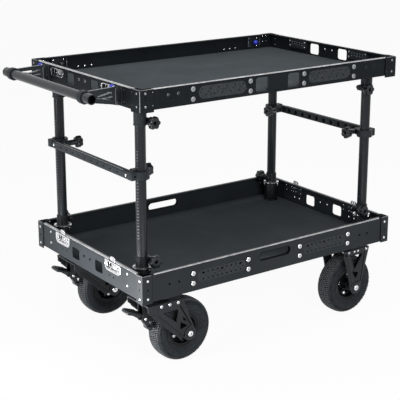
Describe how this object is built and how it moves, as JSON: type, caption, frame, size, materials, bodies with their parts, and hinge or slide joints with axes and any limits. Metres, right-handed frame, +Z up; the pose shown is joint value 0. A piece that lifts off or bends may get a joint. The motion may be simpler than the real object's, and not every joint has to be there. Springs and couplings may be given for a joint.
{
  "type": "camera cart",
  "caption": "Two-tray film equipment cart with side rims, round posts, adjustable crossbars, a folding push handle, pneumatic swivel and fixed casters, and foot brakes.",
  "frame": {"origin": "on the floor, under the middle of the whole cart's box", "axes": "+X along the trays, away from the push handle; +Y across, from the side with the square front windows to the far side; +Z up"},
  "size_m": [1.362, 0.785, 1.0745],
  "materials": {
    "frame_black": "satin black powder coat with a fine grain",
    "post_tube": "satin anodised black tube",
    "handle_tube": "satin dark grey tube",
    "tray_mat": "matt grey foam rubber",
    "knob_plastic": "matt black moulded plastic",
    "tyre_rubber": "matt black rubber with block tread",
    "rim_black": "gloss black",
    "latch_chrome": "bright plated steel",
    "blue_knob": "blue knob on a plated pin"
  },
  "bodies": {
    "cart": {"lower_deck": "frame_black", "lower_mat": "tray_mat", "lower_front_wall": "frame_black", "lower_rear_wall": "frame_black", "lower_left_wall": "frame_black", "lower_right_wall": "frame_black", "front_left_post": "post_tube", "rear_left_post": "post_tube", "front_right_post": "post_tube", "rear_right_post": "post_tube", "front_right_fork": "frame_black", "rear_right_fork": "frame_black"},
    "upper_tray": {"upper_deck": "frame_black", "upper_mat": "tray_mat", "upper_front_wall": "frame_black", "upper_rear_wall": "frame_black", "upper_left_wall": "frame_black", "upper_right_wall": "frame_black"},
    "left_crossbar_assembly": {"left_crossbar": "frame_black"},
    "upper_front_left_knob_body": {"upper_front_left_knob": "knob_plastic"},
    "lower_front_left_knob_body": {"lower_front_left_knob": "knob_plastic"},
    "front_left_crossbar_knob_body": {"front_left_crossbar_knob": "knob_plastic"},
    "upper_rear_left_knob_body": {"upper_rear_left_knob": "knob_plastic"},
    "lower_rear_left_knob_body": {"lower_rear_left_knob": "knob_plastic"},
    "rear_left_crossbar_knob_body": {"rear_left_crossbar_knob": "knob_plastic"},
    "right_crossbar_assembly": {"right_crossbar": "frame_black"},
    "upper_front_right_knob_body": {"upper_front_right_knob": "knob_plastic"},
    "lower_front_right_knob_body": {"lower_front_right_knob": "knob_plastic"},
    "front_right_crossbar_knob_body": {"front_right_crossbar_knob": "knob_plastic"},
    "upper_rear_right_knob_body": {"upper_rear_right_knob": "knob_plastic"},
    "lower_rear_right_knob_body": {"lower_rear_right_knob": "knob_plastic"},
    "rear_right_crossbar_knob_body": {"rear_right_crossbar_knob": "knob_plastic"},
    "upper_left_front_latch_wing_body": {"upper_left_front_latch_wing": "latch_chrome"},
    "upper_left_rear_latch_wing_body": {"upper_left_rear_latch_wing": "latch_chrome"},
    "upper_right_front_latch_wing_body": {"upper_right_front_latch_wing": "latch_chrome"},
    "upper_right_rear_latch_wing_body": {"upper_right_rear_latch_wing": "latch_chrome"},
    "lower_left_front_latch_wing_body": {"lower_left_front_latch_wing": "latch_chrome"},
    "lower_left_rear_latch_wing_body": {"lower_left_rear_latch_wing": "latch_chrome"},
    "lower_right_front_latch_wing_body": {"lower_right_front_latch_wing": "latch_chrome"},
    "lower_right_rear_latch_wing_body": {"lower_right_rear_latch_wing": "latch_chrome"},
    "push_handle": {"handle_tube": "handle_tube", "handle_arm_front": "frame_black", "handle_arm_rear": "frame_black"},
    "handle_release_pin_front_body": {"handle_release_pin_front": "blue_knob"},
    "handle_release_pin_rear_body": {"handle_release_pin_rear": "blue_knob"},
    "accessory_plunger_left_body": {"accessory_plunger_left": "blue_knob"},
    "accessory_plunger_right_body": {"accessory_plunger_right": "blue_knob"},
    "front_left_caster": {"front_left_fork": "frame_black"},
    "front_left_pedal": {"front_left_brake_pedal": "frame_black"},
    "front_left_wheel": {"front_left_rim": "rim_black", "front_left_tyre": "tyre_rubber"},
    "front_right_wheel": {"front_right_rim": "rim_black", "front_right_tyre": "tyre_rubber"},
    "rear_left_caster": {"rear_left_fork": "frame_black"},
    "rear_left_pedal": {"rear_left_brake_pedal": "frame_black"},
    "rear_left_wheel": {"rear_left_rim": "rim_black", "rear_left_tyre": "tyre_rubber"},
    "rear_right_wheel": {"rear_right_rim": "rim_black", "rear_right_tyre": "tyre_rubber"}
  },
  "joints": [
    {"name": "upper_tray_lift", "type": "slide", "parent": "cart", "child": "upper_tray", "axis": [0, 0, 1], "range_m": [0, 0.06]},
    {"name": "left_crossbar_height", "type": "slide", "parent": "cart", "child": "left_crossbar_assembly", "axis": [0, 0, 1], "range_m": [-0.27, 0.15]},
    {"name": "upper_front_left_knob_turn", "type": "hinge", "parent": "upper_tray", "child": "upper_front_left_knob_body", "pos_m": [-0.428, -0.295, 0.9425], "axis": [0, -1, 0], "range_deg": [0, 360]},
    {"name": "lower_front_left_knob_turn", "type": "hinge", "parent": "cart", "child": "lower_front_left_knob_body", "pos_m": [-0.428, -0.295, 0.4345], "axis": [0, -1, 0], "range_deg": [0, 360]},
    {"name": "front_left_crossbar_knob_turn", "type": "hinge", "parent": "left_crossbar_assembly", "child": "front_left_crossbar_knob_body", "pos_m": [-0.457, -0.252, 0.7535], "axis": [1, 0, 0], "range_deg": [0, 360]},
    {"name": "upper_rear_left_knob_turn", "type": "hinge", "parent": "upper_tray", "child": "upper_rear_left_knob_body", "pos_m": [-0.428, 0.295, 0.9425], "axis": [0, 1, 0], "range_deg": [0, 360]},
    {"name": "lower_rear_left_knob_turn", "type": "hinge", "parent": "cart", "child": "lower_rear_left_knob_body", "pos_m": [-0.428, 0.295, 0.4345], "axis": [0, 1, 0], "range_deg": [0, 360]},
    {"name": "rear_left_crossbar_knob_turn", "type": "hinge", "parent": "left_crossbar_assembly", "child": "rear_left_crossbar_knob_body", "pos_m": [-0.457, 0.252, 0.7535], "axis": [1, 0, 0], "range_deg": [0, 360]},
    {"name": "right_crossbar_height", "type": "slide", "parent": "cart", "child": "right_crossbar_assembly", "axis": [0, 0, 1], "range_m": [-0.27, 0.15]},
    {"name": "upper_front_right_knob_turn", "type": "hinge", "parent": "upper_tray", "child": "upper_front_right_knob_body", "pos_m": [0.59, -0.295, 0.9425], "axis": [0, -1, 0], "range_deg": [0, 360]},
    {"name": "lower_front_right_knob_turn", "type": "hinge", "parent": "cart", "child": "lower_front_right_knob_body", "pos_m": [0.59, -0.295, 0.4345], "axis": [0, -1, 0], "range_deg": [0, 360]},
    {"name": "front_right_crossbar_knob_turn", "type": "hinge", "parent": "right_crossbar_assembly", "child": "front_right_crossbar_knob_body", "pos_m": [0.619, -0.252, 0.7535], "axis": [-1, 0, 0], "range_deg": [0, 360]},
    {"name": "upper_rear_right_knob_turn", "type": "hinge", "parent": "upper_tray", "child": "upper_rear_right_knob_body", "pos_m": [0.59, 0.295, 0.9425], "axis": [0, 1, 0], "range_deg": [0, 360]},
    {"name": "lower_rear_right_knob_turn", "type": "hinge", "parent": "cart", "child": "lower_rear_right_knob_body", "pos_m": [0.59, 0.295, 0.4345], "axis": [0, 1, 0], "range_deg": [0, 360]},
    {"name": "rear_right_crossbar_knob_turn", "type": "hinge", "parent": "right_crossbar_assembly", "child": "rear_right_crossbar_knob_body", "pos_m": [0.619, 0.252, 0.7535], "axis": [-1, 0, 0], "range_deg": [0, 360]},
    {"name": "upper_left_front_latch_wing_turn", "type": "hinge", "parent": "upper_tray", "child": "upper_left_front_latch_wing_body", "pos_m": [-0.507, -0.188, 1.0505], "axis": [-1, 0, 0], "range_deg": [0, 180]},
    {"name": "upper_left_rear_latch_wing_turn", "type": "hinge", "parent": "upper_tray", "child": "upper_left_rear_latch_wing_body", "pos_m": [-0.507, 0.188, 1.0505], "axis": [-1, 0, 0], "range_deg": [0, 180]},
    {"name": "upper_right_front_latch_wing_turn", "type": "hinge", "parent": "upper_tray", "child": "upper_right_front_latch_wing_body", "pos_m": [0.669, -0.188, 1.0505], "axis": [1, 0, 0], "range_deg": [0, 180]},
    {"name": "upper_right_rear_latch_wing_turn", "type": "hinge", "parent": "upper_tray", "child": "upper_right_rear_latch_wing_body", "pos_m": [0.669, 0.188, 1.0505], "axis": [1, 0, 0], "range_deg": [0, 180]},
    {"name": "lower_left_front_latch_wing_turn", "type": "hinge", "parent": "cart", "child": "lower_left_front_latch_wing_body", "pos_m": [-0.507, -0.188, 0.3885], "axis": [-1, 0, 0], "range_deg": [0, 180]},
    {"name": "lower_left_rear_latch_wing_turn", "type": "hinge", "parent": "cart", "child": "lower_left_rear_latch_wing_body", "pos_m": [-0.507, 0.188, 0.3885], "axis": [-1, 0, 0], "range_deg": [0, 180]},
    {"name": "lower_right_front_latch_wing_turn", "type": "hinge", "parent": "cart", "child": "lower_right_front_latch_wing_body", "pos_m": [0.669, -0.188, 0.3885], "axis": [1, 0, 0], "range_deg": [0, 180]},
    {"name": "lower_right_rear_latch_wing_turn", "type": "hinge", "parent": "cart", "child": "lower_right_rear_latch_wing_body", "pos_m": [0.669, 0.188, 0.3885], "axis": [1, 0, 0], "range_deg": [0, 180]},
    {"name": "handle_fold", "type": "hinge", "parent": "upper_tray", "child": "push_handle", "pos_m": [-0.535, 0, 1.0155], "axis": [0, -1, 0], "range_deg": [0, 90]},
    {"name": "handle_release_pin_front_pull", "type": "slide", "parent": "upper_tray", "child": "handle_release_pin_front_body", "axis": [0, 1, 0], "range_m": [0, 0.008], "stiffness_N_per_m": 400},
    {"name": "handle_release_pin_rear_pull", "type": "slide", "parent": "upper_tray", "child": "handle_release_pin_rear_body", "axis": [0, 1, 0], "range_m": [0, 0.008], "stiffness_N_per_m": 400},
    {"name": "accessory_plunger_left_pull", "type": "slide", "parent": "upper_tray", "child": "accessory_plunger_left_body", "axis": [0, -1, 0], "range_m": [0, 0.008], "stiffness_N_per_m": 400},
    {"name": "accessory_plunger_right_pull", "type": "slide", "parent": "upper_tray", "child": "accessory_plunger_right_body", "axis": [0, -1, 0], "range_m": [0, 0.008], "stiffness_N_per_m": 400},
    {"name": "front_left_swivel", "type": "hinge", "parent": "cart", "child": "front_left_caster", "pos_m": [-0.375, -0.269, 0.27], "axis": [0, 0, 1], "continuous": true},
    {"name": "front_left_brake", "type": "hinge", "parent": "front_left_caster", "child": "front_left_pedal", "pos_m": [-0.439, -0.269, 0.2005], "axis": [0, -1, 0], "range_deg": [0, 20]},
    {"name": "front_left_wheel_spin", "type": "hinge", "parent": "front_left_caster", "child": "front_left_wheel", "pos_m": [-0.28, -0.269, 0.1225], "axis": [0, 1, 0], "continuous": true},
    {"name": "front_right_wheel_spin", "type": "hinge", "parent": "cart", "child": "front_right_wheel", "pos_m": [0.537, -0.291, 0.1225], "axis": [0, 1, 0], "continuous": true},
    {"name": "rear_left_swivel", "type": "hinge", "parent": "cart", "child": "rear_left_caster", "pos_m": [-0.375, 0.269, 0.27], "axis": [0, 0, 1], "continuous": true},
    {"name": "rear_left_brake", "type": "hinge", "parent": "rear_left_caster", "child": "rear_left_pedal", "pos_m": [-0.439, 0.269, 0.2005], "axis": [0, -1, 0], "range_deg": [0, 20]},
    {"name": "rear_left_wheel_spin", "type": "hinge", "parent": "rear_left_caster", "child": "rear_left_wheel", "pos_m": [-0.28, 0.269, 0.1225], "axis": [0, 1, 0], "continuous": true},
    {"name": "rear_right_wheel_spin", "type": "hinge", "parent": "cart", "child": "rear_right_wheel", "pos_m": [0.537, 0.291, 0.1225], "axis": [0, 1, 0], "continuous": true}
  ]
}
